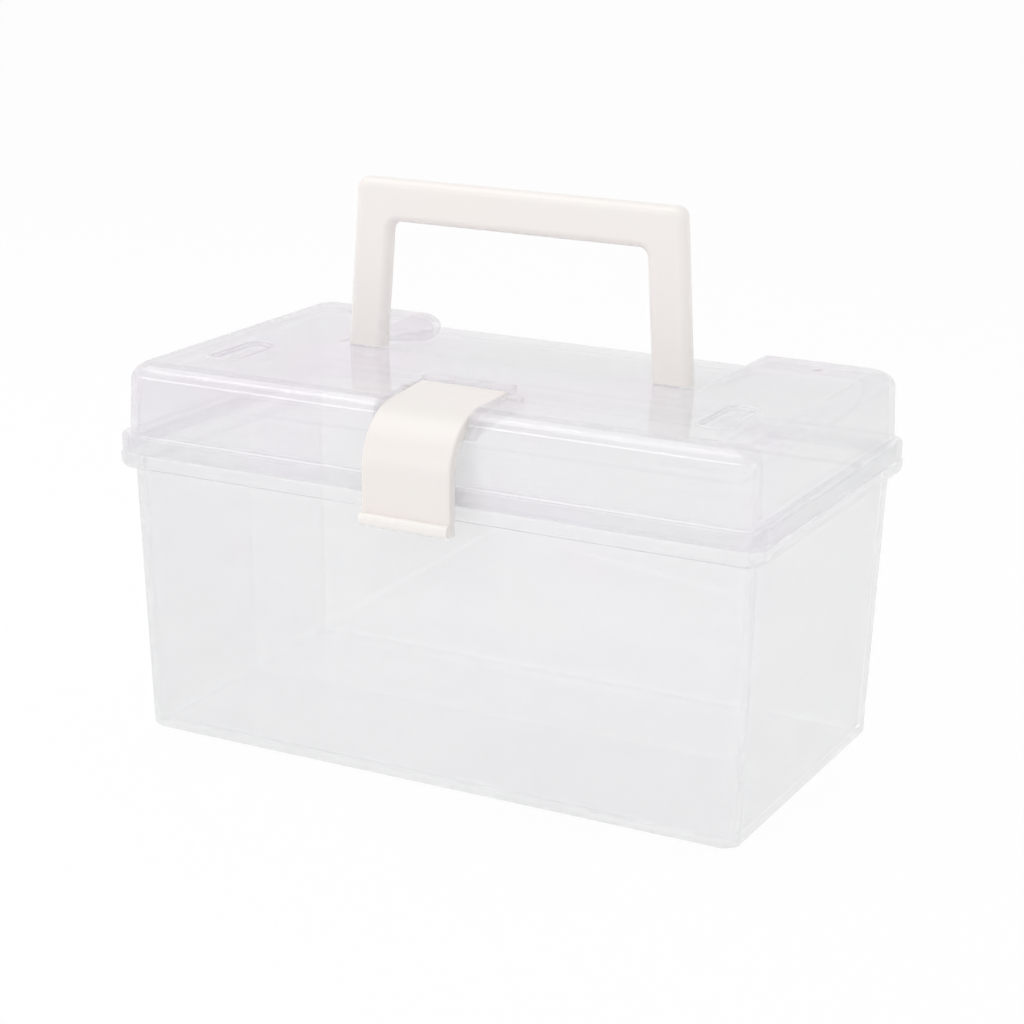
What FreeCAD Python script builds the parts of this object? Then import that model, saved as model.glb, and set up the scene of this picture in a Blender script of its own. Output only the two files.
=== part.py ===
import FreeCAD, Part
import math
import os

from FreeCAD import Vector

# A clear carry case: a deep tub, a hinged lid with a sunken pan, a handle that folds into the pan,
# and a strap latch that hangs from the lid over the front rim.
# X runs along the case, Y from front to back and Z up. The origin is on the table, under the middle.
# All sizes are in millimetres.

# Tub
tub_length = 240.0  # outside, at the underside of the rim
tub_width = 132.0  # outside, at the underside of the rim
base_length = 234.0  # outside, at the table
base_width = 126.0  # outside, at the table
seam_height = 105.8  # from the table to the top of the tub's rim
tub_wall = 2.0
tub_floor = 2.0
tub_corner = 5.0  # plan radius of the upright corners
base_round = 2.5  # rounding between the walls and the table
floor_round = 2.4  # rounding inside, between the walls and the floor
rim_reach = 4.3  # how far the rim stands out from the wall
rim_height = 6.0
rim_round = 3.6  # rounding of the rim's lower edge
seam_round = 0.6  # rounding of the edges on both sides of the seam
rim_corner = 7.0  # plan radius of the rim's corners
lip_height = 4.5  # upstand that stands inside the lid
lip_thickness = 1.6
lip_round = 0.5  # rounding of the upstand's top
lip_clearance = 0.4  # between the upstand and the lid's skirt

# Lid
lid_rise = 32.5  # from the seam to the flat top
lid_wall = 2.0
lid_reach = 1.6  # how far the lid's wall stands out from the tub's wall
lid_corner = 5.5  # plan radius of the upright corners
lid_round = 6.5  # rounding between the walls and the top
lid_lean = 0.8  # how far the walls lean in on their way up
skirt_reach = 4.0  # how far the lid's lower band stands out from the tub's wall
skirt_height = 7.2
skirt_round = 1.5  # rounding of the band's upper edge
seam_gap = 0.3  # between the lid and the tub

# Pan in the back half of the top
pan_side = 4.7  # from the handle's feet to the tops of the rounded shoulders
pan_depth = 6.3  # at the back wall
shoulder_round = 6.0
ramp_round = 150.0  # where the top turns down into the pan

# Recesses and stacking pips in the raised ends
recess_length = 31.0
recess_width = 11.2
recess_depth = 0.9
recess_corner = 3.4
recess_round = 0.7  # rounding between a recess's sides and its floor
recess_from_end = 26.4  # from the lid's end to the middle of a recess
recess_from_front = 37.3  # from the lid's front to the middle of a recess
pip_radius = 2.2
pip_height = 0.5
pip_from_end = 25.6
pip_from_back = 19.2

# Handle
handle_foot_width = 137.0  # outside, across the feet
handle_top_width = 128.8  # outside, across the top
handle_rise = 61.8  # from the feet to the top
handle_thickness = 7.0
leg_width = 15.0
grip_height = 15.4
handle_corner = 4.0  # outer corners
handle_inner_corner = 3.5
handle_edge = 3.0  # rounding of the long edges
handle_back = 2.0  # pivot, behind the middle
handle_gap = 0.4  # between the feet and the lid
lug_width = 5.0  # lug on the lid, inside each hollow foot
lug_radius = 2.3
lug_clearance = 0.35
handle_pin_radius = 1.0
handle_pin_length = 12.0

# Latch
latch_width = 33.8
latch_depth = 4.4  # over the side ribs
latch_web = 2.2  # between the side ribs
latch_rib = 2.2
latch_edge = 0.8  # rounding of the strap's long edges
latch_bend = 20.2  # outer radius of the strap's bend
latch_flat = 21.3  # from the bend to the pivot
latch_tilt = 4.5  # degrees that this run slopes down to the front
latch_proud = 0.1  # how far the knuckle stands above the flat top
latch_gap = 2.8  # between the ribs and the tub's rim
latch_drop = 9.0  # from the seam to the strap's lower end
latch_pin_radius = 1.0
thumb_reach = 2.2  # lip for the thumb
thumb_height = 4.4
thumb_round = 1.8
catch_radius = 2.0  # bead that snaps below the rim
catch_gap = 0.4
channel_side = 1.0  # between the strap and the sides of its channel
channel_clearance = 0.4  # between the ribs and the channel's floor
bar_depth = 3.0  # ridge behind the strap
bar_rise = 1.7
bar_round = 0.8
boss_length = 5.0  # bosses that hold the latch's pin
boss_radius = 3.0

# Hinges
hinge_out = 60.0  # each hinge, from the middle
knuckle_radius = 3.5
tub_knuckle = 6.0  # length of each outer knuckle
lid_knuckle = 8.0  # length of the middle knuckle
knuckle_gap = 0.3  # between knuckles, along the pin
hinge_gap = 0.4  # between the knuckles and the rims
hinge_pin_radius = 1.5

# Shared
pin_clearance = 0.05  # all round each pin
overrun = 5.0  # how far cuts run past a face
round_steps = 8  # outlines along each rounded edge
same_place = 0.001  # points nearer than this are one point

# Places that several pieces share
lid_top = seam_height + lid_rise
lid_length = tub_length + 2 * lid_reach
lid_width = tub_width + 2 * lid_reach
rim_back = tub_width / 2 + rim_reach
hinge_y = rim_back + hinge_gap + knuckle_radius
pivot_z = lid_top + handle_gap + handle_thickness / 2
lug_x = (handle_foot_width - leg_width) / 2
pan_width = handle_foot_width + 2 * pan_side
latch_lean = math.radians(latch_tilt)
latch_front = -(rim_back + latch_gap + latch_depth)
latch_middle = latch_bend - latch_depth / 2
bend_y = latch_front + latch_bend
bend_z = lid_top + latch_proud - latch_flat * math.sin(latch_lean) - latch_bend * math.cos(latch_lean)
latch_pin_y = bend_y + latch_flat * math.cos(latch_lean) - latch_middle * math.sin(latch_lean)
latch_pin_z = bend_z + latch_flat * math.sin(latch_lean) + latch_middle * math.cos(latch_lean)
latch_bottom = seam_height - latch_drop
channel_width = latch_width + 2 * channel_side
bar_front = latch_pin_y + latch_depth / 2 + channel_clearance


def on_circle(centre, radius, degrees):
    """Point on a level circle."""
    angle = math.radians(degrees)
    return centre + Vector(radius * math.cos(angle), radius * math.sin(angle), 0)


def plan(length, width, radius, height):
    """Level outline of a rectangle with round corners, centred over the origin."""
    x = length / 2 - radius
    y = width / 2 - radius
    corners = ((x, y), (-x, y), (-x, -y), (x, -y))
    arcs = []
    for quarter, (corner_x, corner_y) in enumerate(corners):
        centre = Vector(corner_x, corner_y, height)
        turns = (90 * quarter, 90 * quarter + 45, 90 * quarter + 90)
        points = [on_circle(centre, radius, turn) for turn in turns]
        arcs.append(Part.Arc(*points).toShape())
    edges = []
    for arc, following in zip(arcs, arcs[1:] + arcs[:1]):
        edges.append(arc)
        start = arc.Vertexes[-1].Point
        end = following.Vertexes[0].Point
        if start.distanceToPoint(end) > same_place:
            edges.append(Part.makeLine(start, end))
    return Part.Wire(edges)


def block(length, width, radius, bottom, top):
    """Upright block on a round-cornered outline."""
    return Part.Face(plan(length, width, radius, bottom)).extrude(Vector(0, 0, top - bottom))


def rounded_cap(length, width, corner, radius, end, direction):
    """Block whose walls turn in along a quarter circle; direction is 1 for a top, -1 for a bottom."""
    outlines = []
    for step in range(round_steps + 1):
        angle = math.pi / 2 * step / round_steps
        inset = 2 * radius * (1 - math.cos(angle))
        height = end - direction * radius * (1 - math.sin(angle))
        outlines.append(plan(length - inset, width - inset, corner, height))
    return Part.makeLoft(outlines, True, False)


def box(low, high):
    """Box between two opposite corners."""
    size = high - low
    return Part.makeBox(size.x, size.y, size.z, low)


def rod(radius, length, middle):
    """Round bar along X, centred on a point."""
    start = middle - Vector(length / 2, 0, 0)
    return Part.makeCylinder(radius, length, start, Vector(1, 0, 0))


def side_view(edges, width):
    """Extrudes an outline drawn in the Y and Z plane to both sides of the middle."""
    face = Part.Face(Part.Wire(edges))
    face.translate(Vector(-width / 2, 0, 0))
    return face.extrude(Vector(width, 0, 0))


def polyline(points):
    """Straight edges through a row of points."""
    return [Part.makeLine(a, b) for a, b in zip(points, points[1:])]


def bend_point(radius, degrees):
    """Point on the strap's bend, turned forward from straight up."""
    angle = math.radians(degrees)
    return Vector(0, bend_y - radius * math.sin(angle), bend_z + radius * math.cos(angle))


def bend_arc(radius, start, end):
    """Stretch of the strap's bend between two turns."""
    turns = (start, (start + end) / 2, end)
    return Part.Arc(*[bend_point(radius, turn) for turn in turns]).toShape()


def flat_point(radius, run):
    """Point over the strap's straight stretch, some way back from the bend."""
    return bend_point(radius, latch_tilt) + Vector(0, run * math.cos(latch_lean), run * math.sin(latch_lean))


def hinge_places():
    """Middle of each hinge's pin."""
    return [Vector(side * hinge_out, hinge_y, seam_height) for side in (-1, 1)]


def tub():
    """Open tub with a rim, an upstand and two knuckles for each hinge."""
    rim_bottom = seam_height - rim_height
    slope_share = base_round / rim_bottom
    foot_length = base_length + (tub_length - base_length) * slope_share
    foot_width = base_width + (tub_width - base_width) * slope_share
    lower = plan(foot_length, foot_width, tub_corner, base_round)
    upper = plan(tub_length, tub_width, tub_corner, rim_bottom)
    walls = Part.makeLoft([lower, upper], True, True)
    foot = rounded_cap(foot_length, foot_width, tub_corner, base_round, 0, -1)
    rim = block(tub_length + 2 * rim_reach, tub_width + 2 * rim_reach, rim_corner, rim_bottom, seam_height)
    rim = rim.makeFillet(rim_round, level_edges(rim, rim_bottom))
    rim = rim.makeFillet(seam_round, level_edges(rim, seam_height))
    lip_reach = skirt_reach - lid_wall - lip_clearance
    lip_length = tub_length + 2 * lip_reach
    lip_width = tub_width + 2 * lip_reach
    lip_corner = rim_corner - lid_wall - lip_clearance
    lip_top = seam_height + lip_height
    upstand = block(lip_length, lip_width, lip_corner, seam_height, lip_top)
    thinning = 2 * lip_thickness
    upstand = upstand.cut(block(lip_length - thinning, lip_width - thinning, lip_corner - lip_thickness,
                                seam_height, lip_top))
    upstand = upstand.makeFillet(lip_round, level_edges(upstand, lip_top))
    inner_corner = tub_corner - tub_wall
    inside_low = plan(base_length - 2 * tub_wall, base_width - 2 * tub_wall, inner_corner, tub_floor)
    inside_high = plan(tub_length - 2 * tub_wall, tub_width - 2 * tub_wall, inner_corner, seam_height)
    inside = Part.makeLoft([inside_low, inside_high], True, True)
    inside = inside.makeFillet(floor_round, level_edges(inside, tub_floor))
    shape = walls.fuse([foot, rim]).cut(inside).fuse(upstand)
    for place in hinge_places():
        shape = shape.fuse(tub_knuckles(place))
        shape = shape.cut(hinge_bore(place))
    return shape.removeSplitter()


def level_edges(shape, height):
    """Edges that lie at one height."""
    return [edge for edge in shape.Edges
            if max(abs(edge.BoundBox.ZMin - height), abs(edge.BoundBox.ZMax - height)) < same_place]


def tub_knuckles(place):
    """Outer knuckles of one hinge, with the webs that join them to the rim."""
    offset = lid_knuckle / 2 + knuckle_gap + tub_knuckle / 2
    shapes = []
    for side in (-1, 1):
        middle = place + Vector(side * offset, 0, 0)
        half = Vector(tub_knuckle / 2, 0, 0)
        low = middle - half
        low.y = rim_back - rim_reach / 2
        low.z = seam_height - knuckle_radius
        shapes.append(rod(knuckle_radius, tub_knuckle, middle))
        shapes.append(box(low, middle + half))
    return shapes


def hinge_bore(place):
    """Hole for one hinge pin."""
    return rod(hinge_pin_radius + pin_clearance, hinge_pin_length() + overrun, place)


def hinge_pin_length():
    """Length over all three knuckles."""
    return lid_knuckle + 2 * (knuckle_gap + tub_knuckle)


def lid():
    """Lid shell with its pan, latch channel, recesses, lugs and hinge knuckles."""
    shell = lid_body(0).cut(pan(0)).cut(channel(0))
    hollow = lid_body(lid_wall).cut(pan(lid_wall)).cut(channel(lid_wall))
    shape = shell.cut(hollow)
    shape = shape.fuse([latch_bar()] + latch_bosses() + handle_lugs() + pips())
    for place in hinge_places():
        shape = shape.fuse(hinge_arm(place))
        shape = shape.cut(hinge_bore(place))
    for side in (-1, 1):
        shape = shape.cut(recess(side))
        shape = shape.cut(rod(handle_pin_radius + pin_clearance, leg_width, handle_pivot(side)))
    latch_bore = rod(latch_pin_radius + pin_clearance, latch_pin_length(), latch_pivot())
    return shape.cut(latch_bore).removeSplitter()


def lid_body(inset):
    """Outer form of the lid, or its hollow when inset by a wall."""
    low = seam_height + seam_gap
    band_top = seam_height + skirt_height
    top = lid_top - inset
    radius = lid_round - inset
    length = lid_length - 2 * inset
    width = lid_width - 2 * inset
    top_length = length - 2 * lid_lean
    top_width = width - 2 * lid_lean
    corner = lid_corner - inset
    wall_foot = plan(length, width, corner, low)
    wall_head = plan(top_length, top_width, corner, top - radius)
    walls = Part.makeLoft([wall_foot, wall_head], True, True)
    cap = rounded_cap(top_length, top_width, corner, radius, top, 1)
    reach = 2 * (skirt_reach - inset)
    band = block(tub_length + reach, tub_width + reach, rim_corner - inset, low, band_top - inset)
    if inset == 0:
        band = band.makeFillet(skirt_round, level_edges(band, band_top))
        band = band.makeFillet(seam_round, level_edges(band, low))
    return walls.fuse([cap, band])


def pan(inset):
    """Space over the sloping pan; its ramp turns down gently under the handle; inset adds a wall."""
    back = lid_width / 2 + overrun
    slope = math.atan2(pan_depth, lid_width / 2 - handle_back)
    front = handle_back - ramp_round * math.tan(slope / 2)
    top = lid_top - inset
    above = lid_top + overrun

    def on_turn(angle):
        return Vector(0, front + ramp_round * math.sin(angle), top - ramp_round * (1 - math.cos(angle)))

    edges = [Part.Arc(on_turn(0), on_turn(slope / 2), on_turn(slope)).toShape()]
    edges += polyline([
        on_turn(slope),
        Vector(0, back, top - (back - handle_back) * math.tan(slope)),
        Vector(0, back, above),
        Vector(0, front, above),
        on_turn(0),
    ])
    ramp = side_view(edges, pan_width + overrun)
    return ramp.common(pan_outline(inset, front, back, above))


def pan_outline(inset, front, back, above):
    """Front view of the pan: two rounded shoulders with the space between them."""
    radius = shoulder_round - inset
    half = pan_width / 2
    below = lid_top - shoulder_round - pan_depth - overrun
    centre_z = lid_top - shoulder_round
    slant = radius * math.sqrt(0.5)

    def place(x, z):
        return Vector(x, front, z)

    edges = polyline([place(half, lid_top - inset), place(half, above), place(-half, above),
                      place(-half, lid_top - inset)])
    edges.append(Part.Arc(place(-half, lid_top - inset), place(-half + slant, centre_z + slant),
                          place(-half + radius, centre_z)).toShape())
    edges += polyline([place(-half + radius, centre_z), place(-half + radius, below),
                       place(half - radius, below), place(half - radius, centre_z)])
    edges.append(Part.Arc(place(half - radius, centre_z), place(half - slant, centre_z + slant),
                          place(half, lid_top - inset)).toShape())
    return Part.Face(Part.Wire(edges)).extrude(Vector(0, back - front, 0))


def channel(inset):
    """Space that the strap lies in, cut through the lid's front edge; inset adds a wall."""
    radius = latch_bend - latch_depth - channel_clearance - inset
    back = bar_front + inset
    floor_back = bend_point(radius, latch_tilt)
    floor_back += Vector(0, back - floor_back.y, (back - floor_back.y) * math.tan(latch_lean))
    above = lid_top + overrun
    last_turn = 80
    end = bend_point(radius, last_turn)
    edges = polyline([end, Vector(0, end.y, above), Vector(0, back, above), floor_back,
                      bend_point(radius, latch_tilt)])
    edges.append(bend_arc(radius, latch_tilt, last_turn))
    return side_view(edges, channel_width + 2 * inset)


def latch_bar():
    """Ridge behind the strap, which stops it when it stands open."""
    half = channel_width / 2
    top = lid_top + bar_rise
    shape = box(Vector(-half, bar_front, lid_top - lid_wall), Vector(half, bar_front + bar_depth, top))
    return shape.makeFillet(bar_round, level_edges(shape, top))


def latch_bosses():
    """Bosses on both sides of the channel for the latch's pin."""
    shapes = []
    for side in (-1, 1):
        near = side * channel_width / 2
        far = near + side * boss_length
        low = Vector(min(near, far), latch_pin_y - boss_radius, latch_pin_z - boss_radius)
        high = Vector(max(near, far), latch_pin_y + boss_radius, lid_top)
        shapes.append(box(low, high))
    return shapes


def latch_pivot():
    """Middle of the latch's pin."""
    return Vector(0, latch_pin_y, latch_pin_z)


def latch_pin_length():
    """Length over the channel and both bosses."""
    return channel_width + 2 * boss_length


def handle_pivot(side):
    """Middle of one handle pin."""
    return Vector(side * lug_x, handle_back, pivot_z)


def handle_lugs():
    """Lugs that stand on the lid inside the handle's hollow feet."""
    shapes = []
    for side in (-1, 1):
        middle = handle_pivot(side)
        half = Vector(lug_width / 2, lug_radius, 0)
        root = middle - half
        root.z = lid_top - lid_wall / 2
        shapes.append(rod(lug_radius, lug_width, middle))
        shapes.append(box(root, middle + half))
    return shapes


def pips():
    """Low round pips near the back of the raised ends."""
    ball_radius = (pip_radius ** 2 + pip_height ** 2) / (2 * pip_height)
    y = lid_width / 2 - pip_from_back
    shapes = []
    for side in (-1, 1):
        x = side * (lid_length / 2 - pip_from_end)
        ball = Part.makeSphere(ball_radius, Vector(x, y, lid_top + pip_height - ball_radius))
        foot = Vector(x, y, lid_top - lid_wall / 2)
        shapes.append(ball.common(Part.makeCylinder(pip_radius, lid_wall / 2 + pip_height, foot)))
    return shapes


def recess(side):
    """Shallow round-cornered recess in one raised end."""
    bottom = lid_top - recess_depth
    shape = block(recess_width, recess_length, recess_corner, bottom, lid_top + overrun)
    shape = shape.makeFillet(recess_round, level_edges(shape, bottom))
    shape.translate(Vector(side * (lid_length / 2 - recess_from_end), recess_from_front - lid_width / 2, 0))
    return shape


def hinge_arm(place):
    """Middle knuckle of one hinge, with the web that joins it to the lid's band."""
    half = Vector(lid_knuckle / 2, 0, 0)
    low = place - half
    low.y = tub_width / 2 + skirt_reach - lid_wall / 2
    low.z = seam_height + seam_gap
    high = place + half + Vector(0, 0, knuckle_radius)
    return [rod(knuckle_radius, lid_knuckle, place), box(low, high)]


def handle():
    """Bow with two legs; each foot is hollow behind its front face, around a lug."""
    foot = lid_top + handle_gap
    top = foot + handle_rise
    grip_bottom = top - grip_height
    lean_share = grip_height / handle_rise
    foot_half = handle_foot_width / 2
    top_half = handle_top_width / 2
    inner_foot = foot_half - leg_width
    inner_top = top_half + (foot_half - top_half) * lean_share - leg_width
    front = handle_back - handle_thickness / 2

    def place(x, z):
        return Vector(x, front, z)

    outline = polyline([
        place(-foot_half, foot), place(-top_half, top), place(top_half, top), place(foot_half, foot),
        place(inner_foot, foot), place(inner_top, grip_bottom),
        place(-inner_top, grip_bottom), place(-inner_foot, foot), place(-foot_half, foot),
    ])
    shape = Part.Face(Part.Wire(outline)).extrude(Vector(0, handle_thickness, 0))
    shape = shape.makeFillet(handle_corner, cross_edges(shape, top))
    shape = shape.makeFillet(handle_inner_corner, cross_edges(shape, grip_bottom))
    shape = shape.makeFillet(handle_edge, long_edges(shape, foot))
    shape = shape.cut(heel_corner())
    for side in (-1, 1):
        shape = shape.cut(foot_hollow(side))
        shape = shape.cut(handle_pin_hole(side))
    return shape.removeSplitter()


def cross_edges(shape, height):
    """Edges that run front to back at one height."""
    return [edge for edge in level_edges(shape, height) if edge.BoundBox.XLength < edge.BoundBox.YLength]


def long_edges(shape, foot):
    """Edges of the bow's front and back faces, apart from those under the feet."""
    return [edge for edge in shape.Edges
            if edge.BoundBox.YLength < same_place and edge.BoundBox.ZMax > foot + same_place]


def heel_corner():
    """Corner that is cut off behind and below the pivot, so that the heels turn clear of the lid."""
    axis = Vector(0, handle_back, pivot_z)
    corner = Vector(handle_foot_width, handle_thickness, handle_thickness)
    room = box(axis - Vector(corner.x, 0, corner.z), axis + Vector(corner.x, corner.y, 0))
    return room.cut(rod(handle_thickness / 2, 2 * corner.x, axis))


def foot_hollow(side):
    """Space for a lug in one foot, open below and behind so that the leg can fold back over it."""
    room = lug_radius + lug_clearance
    middle = handle_pivot(side)
    low = middle - Vector(lug_width / 2 + lug_clearance, room, handle_thickness)
    high = middle + Vector(lug_width / 2 + lug_clearance, handle_thickness, room + lug_clearance)
    return box(low, high)


def handle_pin_hole(side):
    """Hole for one handle pin, from the inner side of the leg."""
    extra = leg_width - handle_pin_length
    middle = handle_pivot(side) - Vector(side * extra / 2, 0, 0)
    return rod(handle_pin_radius + pin_clearance, leg_width, middle)


def latch():
    """Strap with side ribs, a thumb lip and a catch bead."""
    shape = strap()
    pocket_width = latch_width - 2 * latch_rib
    shape = shape.cut(strap_pocket(pocket_width))
    shape = shape.fuse([thumb_lip(), catch_bead(pocket_width)])
    shape = shape.cut(rod(latch_pin_radius + pin_clearance, latch_width, latch_pivot()))
    return shape.removeSplitter()


def strap():
    """Strap from its knuckle, forward over the lid, round the bend and down."""
    inner = latch_bend - latch_depth
    outer_end = Vector(0, latch_front, latch_bottom)
    inner_end = Vector(0, latch_front + latch_depth, latch_bottom)
    knuckle_back = flat_point(latch_middle, latch_flat + latch_depth / 2)
    knuckle = Part.Arc(flat_point(inner, latch_flat), knuckle_back, flat_point(latch_bend, latch_flat))
    edges = [knuckle.toShape()]
    edges += polyline([flat_point(latch_bend, latch_flat), flat_point(latch_bend, 0)])
    edges.append(bend_arc(latch_bend, latch_tilt, 90))
    edges += polyline([bend_point(latch_bend, 90), outer_end, inner_end, bend_point(inner, 90)])
    edges.append(bend_arc(inner, 90, latch_tilt))
    edges += polyline([flat_point(inner, 0), flat_point(inner, latch_flat)])
    shape = side_view(edges, latch_width)
    return shape.makeFillet(latch_edge, side_edges(shape, latch_bottom))


def side_edges(shape, bottom):
    """Edges round both sides of the strap, apart from those across its lower end."""
    return [edge for edge in shape.Edges
            if edge.BoundBox.XLength < same_place and edge.BoundBox.ZMax > bottom + same_place]


def strap_pocket(width):
    """Hollow behind the strap's web, between its ribs."""
    outer = latch_bend - latch_web
    inner = latch_bend - latch_depth - overrun
    run = latch_flat - latch_depth
    bottom = latch_bottom + thumb_height + 2 * catch_radius
    outer_end = Vector(0, bend_y - outer, bottom)
    inner_end = Vector(0, bend_y - inner, bottom)
    edges = polyline([flat_point(inner, run), flat_point(outer, run), flat_point(outer, 0)])
    edges.append(bend_arc(outer, latch_tilt, 90))
    edges += polyline([bend_point(outer, 90), outer_end, inner_end, bend_point(inner, 90)])
    edges.append(bend_arc(inner, 90, latch_tilt))
    edges += polyline([flat_point(inner, 0), flat_point(inner, run)])
    return side_view(edges, width)


def thumb_lip():
    """Rounded lip along the strap's lower end."""
    half = latch_width / 2
    low = Vector(-half, latch_front - thumb_reach, latch_bottom)
    high = Vector(half, latch_front + latch_web, latch_bottom + thumb_height)
    shape = box(low, high)
    front = [edge for edge in shape.Edges
             if edge.BoundBox.XLength > latch_web and edge.BoundBox.Center.y < latch_front]
    return shape.makeFillet(thumb_round, front)


def catch_bead(width):
    """Bead across the back of the strap, just outside the rim."""
    y = -(rim_back + catch_gap + catch_radius)
    return rod(catch_radius, width, Vector(0, y, latch_bottom + thumb_height))


def hinge_pin(place):
    """Pin of one hinge."""
    return rod(hinge_pin_radius, hinge_pin_length(), place)


def save(name, shape):
    """Writes one piece and says what it is."""
    shape.exportStep("parts/" + name + ".step")
    print(name, "solids", len(shape.Solids), "valid", shape.isValid(), "volume", round(shape.Volume, 1))


os.makedirs("parts", exist_ok=True)
save("tub", tub())
save("lid", lid())
save("handle", handle())
save("latch", latch())
save("latch_pin", rod(latch_pin_radius, latch_pin_length(), latch_pivot()))
for end, side in (("left", -1), ("right", 1)):
    save("handle_pin_" + end, rod(handle_pin_radius, handle_pin_length, handle_pivot(side)))
    save("hinge_pin_" + end, hinge_pin(Vector(side * hinge_out, hinge_y, seam_height)))
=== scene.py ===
"""A clear carry case with an ivory handle and latch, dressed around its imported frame.

Lengths are in metres, in the frame's own axes: X along the case, Y from front to back, Z up.
"""
import logging
import math
from dataclasses import dataclass
from enum import Enum
from typing import Any, Protocol, Union

import bmesh
import bpy
from mathutils import Matrix, Vector


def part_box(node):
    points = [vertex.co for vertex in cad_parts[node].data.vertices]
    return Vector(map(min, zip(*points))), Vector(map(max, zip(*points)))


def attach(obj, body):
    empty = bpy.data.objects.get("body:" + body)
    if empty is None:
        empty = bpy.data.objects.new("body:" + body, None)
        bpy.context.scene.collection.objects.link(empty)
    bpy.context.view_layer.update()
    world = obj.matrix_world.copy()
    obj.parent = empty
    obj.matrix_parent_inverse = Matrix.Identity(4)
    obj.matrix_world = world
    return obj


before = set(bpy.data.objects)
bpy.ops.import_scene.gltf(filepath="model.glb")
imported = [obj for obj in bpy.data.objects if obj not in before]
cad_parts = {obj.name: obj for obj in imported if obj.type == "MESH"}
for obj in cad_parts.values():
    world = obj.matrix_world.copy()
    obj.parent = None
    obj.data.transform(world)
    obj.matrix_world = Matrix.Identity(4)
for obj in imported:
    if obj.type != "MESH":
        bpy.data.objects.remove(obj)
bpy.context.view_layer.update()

Colour = tuple[float, float, float]
Place = tuple[float, float, float]
Span = tuple[float, float]
Operand = Union["Value", float]
Sockets = dict[Union[str, int], Any]
Ring = list[bmesh.types.BMVert]

WHITE: Colour = (1.0, 1.0, 1.0)
RIGHT_ANGLE = math.pi / 2
# Signs of X and Y at the corners of a rectangle, in turn from its back right one.
CORNERS: tuple[Span, ...] = ((1.0, 1.0), (-1.0, 1.0), (-1.0, -1.0), (1.0, -1.0))
# Sockets of the Mix node in its colour mode: two inputs and the output.
MIX_FIRST = 6
MIX_SECOND = 7
MIX_RESULT = 2
log = logging.getLogger("carry_case")


class Slot(Enum):
    """Material slots of the record."""

    CLEAR = "clear_plastic"
    IVORY = "ivory_plastic"


class Side(Enum):
    """Ends of the case, as the names of its pieces give them."""

    LEFT = "left"
    RIGHT = "right"


class Value:
    """A number socket; arithmetic on it adds Math nodes."""

    def __init__(self, graph: "Graph", socket: bpy.types.NodeSocket) -> None:
        """Keeps the socket and the graph that it belongs to."""
        self.graph = graph
        self.socket = socket

    def __add__(self, other: Operand) -> "Value":
        """This value plus another."""
        return self.graph.math("ADD", self, other)

    def __radd__(self, other: Operand) -> "Value":
        """A number plus this value."""
        return self.graph.math("ADD", other, self)

    def __sub__(self, other: Operand) -> "Value":
        """This value less another."""
        return self.graph.math("SUBTRACT", self, other)

    def __rsub__(self, other: Operand) -> "Value":
        """A number less this value."""
        return self.graph.math("SUBTRACT", other, self)

    def __mul__(self, other: Operand) -> "Value":
        """This value times another."""
        return self.graph.math("MULTIPLY", self, other)

    def __rmul__(self, other: Operand) -> "Value":
        """A number times this value."""
        return self.graph.math("MULTIPLY", other, self)

    def __pow__(self, other: Operand) -> "Value":
        """This value raised to a power."""
        return self.graph.math("POWER", self, other)

    def at_most(self, other: Operand) -> "Value":
        """The smaller of this value and another."""
        return self.graph.math("MINIMUM", self, other)

    def at_least(self, other: Operand) -> "Value":
        """The larger of this value and another."""
        return self.graph.math("MAXIMUM", self, other)

    def along(self, span: Span) -> "Value":
        """Share of the way along a span, held within 0 and 1."""
        share = (self - span[0]) * (1 / (span[1] - span[0]))
        return share.at_least(0.0).at_most(1.0)


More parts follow.
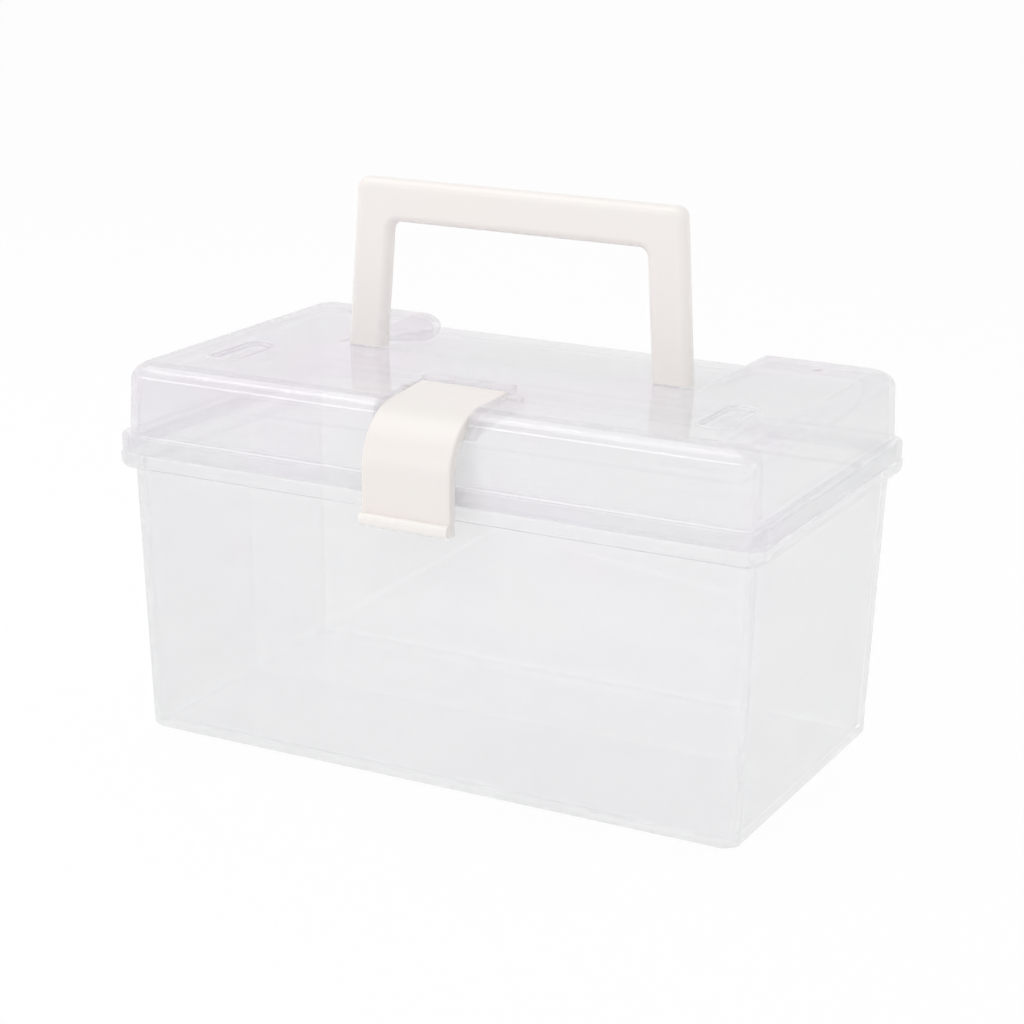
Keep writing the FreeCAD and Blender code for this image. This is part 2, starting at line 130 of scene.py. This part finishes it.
class Graph:
    """Node tree of a material or the world, with one way to add its nodes."""

    def __init__(self, owner: bpy.types.ID) -> None:
        """Starts an empty tree.

        Args:
            owner: material or world that the tree belongs to.
        """
        owner.use_nodes = True
        self.tree = owner.node_tree
        self.tree.nodes.clear()

    def node(self, kind: str, settings: dict[str, Any], sockets: Sockets) -> bpy.types.Node:
        """Adds one node.

        Args:
            kind: Blender's name for the node.
            settings: properties of the node, which are set first.
            sockets: values or links of its inputs, by name or by number.

        Returns:
            The new node.
        """
        made = self.tree.nodes.new(kind)
        for name, setting in settings.items():
            setattr(made, name, setting)
        for name, given in sockets.items():
            source = given.socket if isinstance(given, Value) else given
            if isinstance(source, bpy.types.NodeSocket):
                self.tree.links.new(source, made.inputs[name])
            else:
                made.inputs[name].default_value = source
        return made

    def output(self, kind: str, name: str, sockets: Sockets) -> Value:
        """Adds a plain node and gives one of its outputs."""
        return Value(self, self.node(kind, {}, sockets).outputs[name])

    def math(self, operation: str, first: Operand, second: Operand) -> Value:
        """Adds a Math node and gives its result."""
        made = self.node("ShaderNodeMath", {"operation": operation}, {0: first, 1: second})
        return Value(self, made.outputs[0])

    def mix(self, factor: Operand, first: Any, second: Any) -> bpy.types.NodeSocket:
        """Blends two colours and gives the resulting socket."""
        sockets = {0: factor, MIX_FIRST: first, MIX_SECOND: second}
        return self.node("ShaderNodeMix", {"data_type": "RGBA"}, sockets).outputs[MIX_RESULT]

    def blend(self, share: Operand, first: bpy.types.Node, second: bpy.types.Node) -> bpy.types.Node:
        """Mixes two shaders, the second by the given share."""
        return self.node("ShaderNodeMixShader", {}, {0: share, 1: first.outputs[0], 2: second.outputs[0]})

    def place(self) -> bpy.types.NodeSocket:
        """Coordinates that stay with the piece, in metres."""
        return self.output("ShaderNodeTexCoord", "Object", {}).socket

    def stretched(self, source: bpy.types.NodeSocket, scale: Place) -> bpy.types.NodeSocket:
        """Coordinates with each axis scaled by its own number."""
        made = self.node("ShaderNodeVectorMath", {"operation": "MULTIPLY"}, {0: source, 1: scale})
        return made.outputs[0]

    def noise(self, source: bpy.types.NodeSocket, scale: float, detail: float) -> Value:
        """Smooth noise of about one half, with bumps 1 / scale long."""
        return self.output("ShaderNodeTexNoise", "Fac", {"Vector": source, "Scale": scale, "Detail": detail})

    def bump(self, height: Value, depth: float, strength: float) -> bpy.types.NodeSocket:
        """Normal tilted by a height field of the given depth."""
        sockets = {"Height": height, "Distance": depth, "Strength": strength}
        return self.output("ShaderNodeBump", "Normal", sockets).socket

    def light_path(self, *kinds: str) -> Value:
        """Tells some kinds of rays from the rest.

        Args:
            kinds: names of the Light Path node's outputs.

        Returns:
            One for rays of any of these kinds, and zero for the rest.
        """
        made = self.node("ShaderNodeLightPath", {}, {})
        total = Value(self, made.outputs[kinds[0]])
        for kind in kinds[1:]:
            total = total.at_least(Value(self, made.outputs[kind]))
        return total

    def surface(self, shader: bpy.types.Node, output: str = "ShaderNodeOutputMaterial") -> None:
        """Makes a shader the tree's surface."""
        self.node(output, {}, {"Surface": shader.outputs[0]})


def opaque(colour: Colour) -> tuple[float, float, float, float]:
    """A colour with full alpha, as colour sockets take it."""
    return (*colour, 1.0)


class Finish(Protocol):
    """Anything that can make a material."""

    def material(self, name: str) -> bpy.types.Material:
        """Makes the material under a name."""


@dataclass(frozen=True)
class ClearPlastic:
    """Clear moulded plastic: a clear film that also bends light a little, under a faint pearly haze.

    Attributes:
        tint: what each surface lets through.
        haze: colour of the haze.
        lilac: colour of the haze's pearly patches.
        haze_share: share of the light that the haze takes.
        haze_swing: how much more it takes along the flow lines.
        bend_share: share of the clear light that is bent, as in a thick pane.
        least_shine: share that the surface mirrors where it is seen straight on.
        shine_power: how fast that share grows towards grazing angles.
        refraction: index of refraction.
        smooth: roughness where the mould was polished.
        flow_dull: roughness that the flow lines add.
        scuff_dull: roughness that fine scuffs add.
        wave_scale: slow waves of the surface, per metre.
        wave_depth: depth of the waves.
        wave_strength: how strongly the waves tilt the surface.
        pearl_scale: pearly patches, per metre.
        pearl_span: noise over which a patch sets in.
        pearl_rise: heights over which the patches set in.
        flow_scale: flow lines, per metre.
        flow_stretch: how much the flow lines are squeezed along each axis.
        flow_span: noise over which a flow line dulls the surface.
        scuff_scale: scuffs, per metre.
        scuff_span: noise over which a scuff sets in.
        coarse: detail of slow noise.
        fine: detail of fine noise.
    """

    tint: Colour = (0.962, 0.962, 0.965)
    haze: Colour = (0.85, 0.85, 0.86)
    lilac: Colour = (0.89, 0.75, 0.89)
    haze_share: float = 0.07
    haze_swing: float = 0.08
    bend_share: float = 0.35
    least_shine: float = 0.04
    shine_power: float = 5.0
    refraction: float = 1.5
    smooth: float = 0.015
    flow_dull: float = 0.036
    scuff_dull: float = 0.024
    wave_scale: float = 22.0
    wave_depth: float = 0.00006
    wave_strength: float = 0.25
    pearl_scale: float = 12.0
    pearl_span: Span = (0.45, 0.65)
    pearl_rise: Span = (0.03, 0.10)
    flow_scale: float = 9.0
    flow_stretch: Place = (1.0, 1.0, 7.0)
    flow_span: Span = (0.35, 0.75)
    scuff_scale: float = 420.0
    scuff_span: Span = (0.62, 0.8)
    coarse: float = 2.0
    fine: float = 5.0

    def material(self, name: str) -> bpy.types.Material:
        """Makes the material.

        Args:
            name: name of the material.

        Returns:
            The new material.
        """
        made = bpy.data.materials.new(name)
        graph = Graph(made)
        place = graph.place()
        flow = graph.noise(graph.stretched(place, self.flow_stretch), self.flow_scale, self.fine)
        waves = graph.noise(place, self.wave_scale, self.coarse)
        skin = {
            "Roughness": self.roughness(graph, place, flow),
            "Normal": graph.bump(waves, self.wave_depth, self.wave_strength),
        }
        clear = graph.blend(self.bend_share, self.film(graph, skin), self.pane(graph, skin))
        share = self.haze_share + self.haze_swing * flow
        graph.surface(graph.blend(share, clear, self.milk(graph, place, skin)))
        return made

    def roughness(self, graph: Graph, place: bpy.types.NodeSocket, flow: Value) -> Value:
        """Roughness of the surface, with dull flow lines and scuffs.

        Args:
            graph: the material's node tree.
            place: coordinates of the piece.
            flow: noise along the flow lines.

        Returns:
            The roughness.
        """
        scuffs = graph.noise(place, self.scuff_scale, self.fine).along(self.scuff_span)
        return self.smooth + self.flow_dull * flow.along(self.flow_span) + self.scuff_dull * scuffs

    def film(self, graph: Graph, skin: Sockets) -> bpy.types.Node:
        """A film that light passes straight, and that mirrors more at grazing angles.

        Args:
            graph: the material's node tree.
            skin: roughness and normal of the surface.

        Returns:
            The shader.
        """
        slant = graph.output("ShaderNodeLayerWeight", "Facing", {})
        shine = self.least_shine + (1.0 - self.least_shine) * slant ** self.shine_power
        through = graph.node("ShaderNodeBsdfTransparent", {}, {"Color": opaque(self.tint)})
        gloss = graph.node("ShaderNodeBsdfAnisotropic", {}, skin)
        return graph.blend(shine, through, gloss)

    def pane(self, graph: Graph, skin: Sockets) -> bpy.types.Node:
        """A solid pane that bends light, which draws the edges.

        Args:
            graph: the material's node tree.
            skin: roughness and normal of the surface.

        Returns:
            The shader.
        """
        sockets = {"Base Color": opaque(self.tint), "IOR": self.refraction, "Transmission Weight": 1.0}
        return graph.node("ShaderNodeBsdfPrincipled", {}, {**skin, **sockets})

    def milk(self, graph: Graph, place: bpy.types.NodeSocket, skin: Sockets) -> bpy.types.Node:
        """The haze, with lilac patches in the upper part of the case.

        Args:
            graph: the material's node tree.
            place: coordinates of the piece.
            skin: roughness and normal of the surface.

        Returns:
            The shader.
        """
        height = graph.output("ShaderNodeSeparateXYZ", "Z", {0: place}).along(self.pearl_rise)
        pearl = height * graph.noise(place, self.pearl_scale, self.coarse).along(self.pearl_span)
        colour = graph.mix(pearl, opaque(self.haze), opaque(self.lilac))
        sockets = {"Base Color": colour, "IOR": self.refraction}
        return graph.node("ShaderNodeBsdfPrincipled", {}, {**skin, **sockets})


@dataclass(frozen=True)
class IvoryPlastic:
    """Opaque warm white moulding with faint blush clouds, fine grain, softly polished edges and a painted
    highlight along them.

    Attributes:
        body: main colour; its default is lightened as painted light, for the handle.
        blush: colour of the clouds.
        edge: colour of the painted highlight on the pointed edges.
        edge_highlight_share: how much of the painted edge highlight shows.
        polish: roughness of the smoothest places.
        matt: roughness that the clouds add.
        edge_polish: roughness that the edges lose.
        refraction: index of refraction.
        cloud_scale: clouds, per metre.
        cloud_span: noise over which a cloud sets in.
        edge_span: how pointed a place is where the edge polish and the painted edge highlight set in.
        grain_scale: grain, per metre.
        grain_depth: depth of the grain.
        grain_strength: how strongly the grain tilts the surface.
        detail: detail of the noise.
    """

    body: Colour = (0.90, 0.86, 0.83)
    blush: Colour = (0.91, 0.855, 0.83)
    edge: Colour = (0.90, 0.875, 0.85)
    edge_highlight_share: float = 0.6
    polish: float = 0.26
    matt: float = 0.16
    edge_polish: float = 0.08
    refraction: float = 1.49
    cloud_scale: float = 38.0
    cloud_span: Span = (0.4, 0.7)
    edge_span: Span = (0.52, 0.62)
    grain_scale: float = 2600.0
    grain_depth: float = 0.00004
    grain_strength: float = 0.3
    detail: float = 3.0

    def material(self, name: str) -> bpy.types.Material:
        """Makes the material.

        Args:
            name: name of the material.

        Returns:
            The new material.
        """
        made = bpy.data.materials.new(name)
        graph = Graph(made)
        place = graph.place()
        clouds = graph.noise(place, self.cloud_scale, self.detail)
        grain = graph.noise(place, self.grain_scale, self.detail)
        edges = graph.output("ShaderNodeNewGeometry", "Pointiness", {}).along(self.edge_span)
        colour = graph.mix(clouds.along(self.cloud_span), opaque(self.body), opaque(self.blush))
        # painted highlight: pointed edges are lightened towards the edge colour, as if light caught them
        colour = graph.mix(self.edge_highlight_share * edges, colour, opaque(self.edge))
        graph.surface(graph.node("ShaderNodeBsdfPrincipled", {}, {
            "Base Color": colour,
            "Roughness": self.polish + self.matt * clouds - self.edge_polish * edges,
            "Normal": graph.bump(grain, self.grain_depth, self.grain_strength),
            "IOR": self.refraction,
        }))
        return made


def join_rings(shape: bmesh.types.BMesh, near: Ring, far: Ring) -> None:
    """Fills the strip between two closed rings with smooth faces.

    Args:
        shape: mesh to add to.
        near: points of one ring.
        far: points of the other ring, in the same order.
    """
    for number in range(len(near)):
        corners = (near[number - 1], near[number], far[number], far[number - 1])
        shape.faces.new(corners).smooth = True


def add_piece(name: str, shape: bmesh.types.BMesh, body: str) -> bpy.types.Object:
    """Turns a finished shape into a piece of the case.

    Args:
        name: name of the piece.
        shape: its mesh, which is used up.
        body: moving body that it rides on.

    Returns:
        The new piece.
    """
    bmesh.ops.recalc_face_normals(shape, faces=shape.faces[:])
    mesh = bpy.data.meshes.new(name)
    shape.to_mesh(mesh)
    shape.free()
    piece = bpy.data.objects.new(name, mesh)
    bpy.context.scene.collection.objects.link(piece)
    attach(piece, body)
    return piece


@dataclass
class SubAssembly:
    """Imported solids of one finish, with what else belongs to them.

    Attributes:
        title: name of its finish.
        nodes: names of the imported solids.
        finish: finish of all its pieces.
        slot: material slot of the record.
        passes_light: whether lamps shine through it.
    """

    title: str
    nodes: tuple[str, ...]
    finish: Finish
    slot: Slot
    passes_light: bool = False

    def build(self) -> list[bpy.types.Object]:
        """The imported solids, as they stand."""
        return [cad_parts[name] for name in self.nodes]

    def dress(self, pieces: list[bpy.types.Object]) -> None:
        """Gives the pieces their finish.

        Args:
            pieces: objects to dress.
        """
        material = self.finish.material(self.title)
        for piece in pieces:
            piece.data.materials.clear()
            piece.data.materials.append(material)
            piece.visible_shadow = not self.passes_light


@dataclass
class Tub(SubAssembly):
    """Clear tub with its rim and both hinge pins."""

    title: str = "clear_tub"
    nodes: tuple[str, ...] = ("tub", "hinge_pin_left", "hinge_pin_right")
    finish: Finish = ClearPlastic()
    slot: Slot = Slot.CLEAR
    passes_light: bool = True


@dataclass
class Lid(SubAssembly):
    """Clear lid, a little hazier than the tub."""

    title: str = "clear_lid"
    nodes: tuple[str, ...] = ("lid",)
    finish: Finish = ClearPlastic(haze_share=0.11, bend_share=0.28, pearl_span=(0.36, 0.63))
    slot: Slot = Slot.CLEAR
    passes_light: bool = True


@dataclass
class RecessLips(SubAssembly):
    """Thin round lips along the edges of the two recesses in the lid's raised ends, partly a guessed lip and
    partly a painted highlight, whitened by a thick haze so each recess shows a bright outline.

    Attributes:
        body: moving body that the lips ride on.
        middle: middle of the right recess, at the lid's top.
        width: size of a recess along X.
        length: size of a recess along Y.
        corner: radius of its corners.
        lip_width: width of a lip.
        lip_height: how far a lip stands proud.
        lip_sink: how deep its foot lies in the lid.
        corner_steps: steps round each corner.
        lip_steps: steps over a lip.
    """

    title: str = "recess_lip_highlight"
    nodes: tuple[str, ...] = ()
    # painted highlight: a whiter, hazier finish than the lid, so the lips show as bright outlines
    finish: Finish = ClearPlastic(haze=(0.95, 0.95, 0.96), haze_share=0.6, bend_share=0.0)
    slot: Slot = Slot.CLEAR
    passes_light: bool = True
    body: str = "lid"
    middle: Place = (0.0952, -0.0303, 0.1383)
    width: float = 0.0112
    length: float = 0.031
    corner: float = 0.0034
    lip_width: float = 0.0007
    lip_height: float = 0.00025
    lip_sink: float = 0.0001
    corner_steps: int = 8
    lip_steps: int = 8

    def build(self) -> list[bpy.types.Object]:
        """The lips of both recesses."""
        return [self.build_lip(side) for side in Side]

    def build_lip(self, side: Side) -> bpy.types.Object:
        """Makes the lip of one recess.

        Args:
            side: end of the case.

        Returns:
            The lip, which rides on the lid.
        """
        shape = bmesh.new()
        rings = [self.ring(shape, side, quarter, step)
                 for quarter in range(len(CORNERS)) for step in range(self.corner_steps + 1)]
        for near, far in zip(rings, rings[1:] + rings[:1]):
            join_rings(shape, near, far)
        return add_piece("recess_lip_" + side.value, shape, self.body)

    def ring(self, shape: bmesh.types.BMesh, side: Side, quarter: int, step: int) -> Ring:
        """Adds one cross-section of a lip.

        Args:
            shape: mesh to add to.
            side: end of the case.
            quarter: which corner of the recess, counted from its back right one.
            step: step round that corner.

        Returns:
            The points over the lip, from its outer foot to its inner foot.
        """
        turn = RIGHT_ANGLE * (quarter + step / self.corner_steps)
        right, back = CORNERS[quarter]
        across = right * (self.width / 2 - self.corner)
        along = back * (self.length / 2 - self.corner)
        outward = Vector((math.cos(turn), math.sin(turn), 0.0))
        seat = Vector(self.middle)
        seat.x *= 1.0 if side is Side.RIGHT else -1.0
        centre = seat + Vector((across, along, 0.0))
        half = self.lip_width / 2
        arcs = [math.pi * arc / self.lip_steps for arc in range(self.lip_steps + 1)]
        outline = [(half, -self.lip_sink)]
        outline += [(half * math.cos(arc), self.lip_height * math.sin(arc)) for arc in arcs]
        outline += [(-half, -self.lip_sink)]
        return [shape.verts.new(centre + outward * (self.corner + half + out) + Vector((0.0, 0.0, up)))
                for out, up in outline]


@dataclass
class Handle(SubAssembly):
    """Ivory handle with its pins, and caps that close the pins' holes on the inner sides of the legs.

    Attributes:
        body: moving body that the caps ride on.
        cap_length: from a pin's end to the face of its cap.
        cap_seat: gap between a pin and its cap.
        cap_round: rounding of a cap's edge.
        cap_sides: sides of a cap's circle.
        cap_steps: steps of its rounding.
    """

    title: str = "ivory_handle"
    nodes: tuple[str, ...] = ("handle", "handle_pin_left", "handle_pin_right")
    # painted light: this ivory is lighter than the latch's, making up for the shade the handle gets sitting
    # on the clear lid
    finish: Finish = IvoryPlastic()
    slot: Slot = Slot.IVORY
    body: str = "handle"
    cap_length: float = 0.00168
    cap_seat: float = 0.00005
    cap_round: float = 0.0002
    cap_sides: int = 48
    cap_steps: int = 4

    def build(self) -> list[bpy.types.Object]:
        """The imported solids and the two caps."""
        return super().build() + [self.build_cap(side) for side in Side]

    def build_cap(self, side: Side) -> bpy.types.Object:
        """Makes the cap of one pin.

        Args:
            side: end of the case.

        Returns:
            The cap, which rides on the handle.
        """
        pin = "handle_pin_" + side.value
        low, high = (Vector(corner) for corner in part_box(pin))
        middle = (low + high) / 2
        inward = -math.copysign(1.0, middle.x)
        face = middle + Vector((inward * (high.x - low.x) / 2, 0.0, 0.0))
        shape = bmesh.new()
        circles = [self.cap_circle(shape, face, inward * along, radius)
                   for along, radius in self.cap_profile((high.z - low.z) / 2)]
        for near, far in zip(circles, circles[1:]):
            join_rings(shape, near, far)
        shape.faces.new(circles[0])
        shape.faces.new(circles[-1])
        return add_piece(pin + "_cap", shape, self.body)

    def cap_profile(self, radius: float) -> list[tuple[float, float]]:
        """Outline of a cap, from its seat to its rounded face.

        Args:
            radius: radius of the pin.

        Returns:
            Pairs of a distance from the pin's end and a radius.
        """
        outline = [(self.cap_seat, radius)]
        for step in range(self.cap_steps + 1):
            turn = RIGHT_ANGLE * step / self.cap_steps
            along = self.cap_length - self.cap_round * (1 - math.sin(turn))
            outline.append((along, radius - self.cap_round * (1 - math.cos(turn))))
        return outline

    def cap_circle(self, shape: bmesh.types.BMesh, face: Vector, along: float, radius: float) -> Ring:
        """Adds one circle of a cap.

        Args:
            shape: mesh to add to.
            face: middle of the pin's end.
            along: distance from there along X.
            radius: radius of the circle.

        Returns:
            The circle's points.
        """
        turns = [2 * math.pi * corner / self.cap_sides for corner in range(self.cap_sides)]
        return [shape.verts.new(face + Vector((along, radius * math.cos(turn), radius * math.sin(turn))))
                for turn in turns]


@dataclass
class Latch(SubAssembly):
    """Ivory strap latch and the pin that it hangs from."""

    title: str = "ivory_latch"
    nodes: tuple[str, ...] = ("latch", "latch_pin")
    # plain ivory colour; the handle's copy of this ivory is lighter, as painted light
    finish: Finish = IvoryPlastic(body=(0.86, 0.82, 0.79), blush=(0.87, 0.815, 0.79))
    slot: Slot = Slot.IVORY


@dataclass(frozen=True)
class PhotoCamera:
    """Camera that stands where the photograph was taken.

    Attributes:
        place: its place.
        turn: degrees to the left of straight ahead.
        tilt: degrees below level.
        roll: degrees that the picture is turned.
        focal_pixels: focal length in pixels of the photograph.
        picture_pixels: side of the photograph in pixels.
        sensor: side of the sensor in millimetres.
    """

    place: Place = (0.4029, -0.7741, 0.3416)
    turn: float = 27.50
    tilt: float = 16.46
    roll: float = 0.78
    focal_pixels: float = 2516.0
    picture_pixels: float = 1024.0
    sensor: float = 36.0

    def build(self) -> None:
        """Makes the camera and gives it to the scene."""
        data = bpy.data.cameras.new("camera")
        data.sensor_width = self.sensor
        data.lens = self.focal_pixels / self.picture_pixels * self.sensor
        camera = bpy.data.objects.new("camera", data)
        pitch = RIGHT_ANGLE - math.radians(self.tilt)
        turned = Matrix.Rotation(math.radians(self.turn), 4, "Z") @ Matrix.Rotation(pitch, 4, "X")
        rolled = turned @ Matrix.Rotation(math.radians(self.roll), 4, "Z")
        camera.matrix_world = Matrix.Translation(self.place) @ rolled
        bpy.context.scene.collection.objects.link(camera)
        bpy.context.scene.camera = camera


@dataclass(frozen=True)
class SoftLamp:
    """One soft box that faces the case.

    Attributes:
        name: name of the lamp.
        place: its place.
        width: its width.
        height: its height.
        watts: its power.
        target: point that it faces.
    """

    name: str
    place: Place
    width: float
    height: float
    watts: float
    target: Place = (0.0, 0.0, 0.1)

    def build(self) -> None:
        """Makes the lamp."""
        data = bpy.data.lights.new(self.name, "AREA")
        data.shape = "RECTANGLE"
        data.size = self.width
        data.size_y = self.height
        data.energy = self.watts
        lamp = bpy.data.objects.new(self.name, data)
        lamp.location = self.place
        lamp.rotation_euler = (Vector(self.target) - lamp.location).to_track_quat("-Z", "Y").to_euler()
        bpy.context.scene.collection.objects.link(lamp)


@dataclass(frozen=True)
class Studio:
    """White floor, pale surroundings and soft lamps.

    Attributes:
        floor_side: side of the floor.
        floor_gap: how far the floor lies below the case.
        floor_colour: the floor's own colour.
        glow: share of plain white in what is seen of the floor.
        ambient: strength of the light from all round.
        back_gain: how much stronger it is low down behind the case.
        back_span: backward share of a direction over which that sets in.
        low_span: upward share of a direction over which that ends.
        bounces: turns that light may take inside the clear plastic.
        lamps: the lamps.
    """

    floor_side: float = 40.0
    floor_gap: float = 0.0003
    floor_colour: Colour = (0.95, 0.95, 0.95)
    glow: float = 0.9
    ambient: float = 0.775
    back_gain: float = 0.2
    back_span: Span = (0.0, 0.7)
    low_span: Span = (0.3, 0.75)
    bounces: int = 40
    lamps: tuple[SoftLamp, ...] = (
        SoftLamp("top_lamp", place=(-0.65, -0.45, 1.4), width=1.3, height=0.9, watts=5.6),
        SoftLamp("front_lamp", place=(-0.95, -1.75, 0.42), width=1.1, height=0.3, watts=3.0),
        SoftLamp("right_lamp", place=(1.6, -0.6, 0.7), width=0.8, height=0.8, watts=2.5),
    )

    def build(self) -> None:
        """Makes the floor, the surroundings and the lamps."""
        self.build_floor()
        self.build_world()
        for lamp in self.lamps:
            lamp.build()
        scene = bpy.context.scene
        scene.view_settings.view_transform = "Standard"
        scene.cycles.max_bounces = self.bounces
        scene.cycles.transmission_bounces = self.bounces
        scene.cycles.transparent_max_bounces = self.bounces
        scene.cycles.glossy_bounces = self.bounces

    def build_floor(self) -> None:
        """Makes a floor that looks white and still takes a faint shadow."""
        half = self.floor_side / 2
        mesh = bpy.data.meshes.new("floor")
        corners = [(half * right, half * back, 0.0) for right, back in CORNERS]
        mesh.from_pydata(corners, [], [range(len(corners))])
        floor = bpy.data.objects.new("floor", mesh)
        floor.location.z = -self.floor_gap
        bpy.context.scene.collection.objects.link(floor)
        material = bpy.data.materials.new("white_floor")
        graph = Graph(material)
        seen = graph.light_path("Is Camera Ray", "Is Glossy Ray", "Is Transmission Ray")
        paint = graph.node("ShaderNodeBsdfDiffuse", {}, {"Color": opaque(self.floor_colour)})
        white = graph.node("ShaderNodeEmission", {}, {"Strength": 1.0})
        graph.surface(graph.blend(self.glow * seen, paint, white))
        mesh.materials.append(material)

    def build_world(self) -> None:
        """Makes pale surroundings that light the case evenly, and a little more from low behind."""
        world = bpy.data.worlds.new("pale_surroundings")
        bpy.context.scene.world = world
        graph = Graph(world)
        direction = graph.output("ShaderNodeTexCoord", "Generated", {}).socket
        axes = graph.node("ShaderNodeSeparateXYZ", {}, {0: direction})
        up = Value(graph, axes.outputs["Z"])
        behind = Value(graph, axes.outputs["Y"]).along(self.back_span) * (1.0 - up.along(self.low_span))
        strength = self.ambient + self.back_gain * behind
        sockets = {"Color": opaque(WHITE), "Strength": strength}
        light = graph.node("ShaderNodeBackground", {}, sockets)
        graph.surface(light, "ShaderNodeOutputWorld")


def main() -> None:
    """Builds and dresses the case, its camera and its studio."""
    logging.basicConfig(level=logging.INFO)
    for assembly in (Tub(), Lid(), RecessLips(), Handle(), Latch()):
        pieces = assembly.build()
        assembly.dress(pieces)
        for piece in pieces:
            log.info("dressed %s as %s", piece.name, assembly.slot.value)
    PhotoCamera().build()
    Studio().build()


if __name__ == "__main__":
    main()
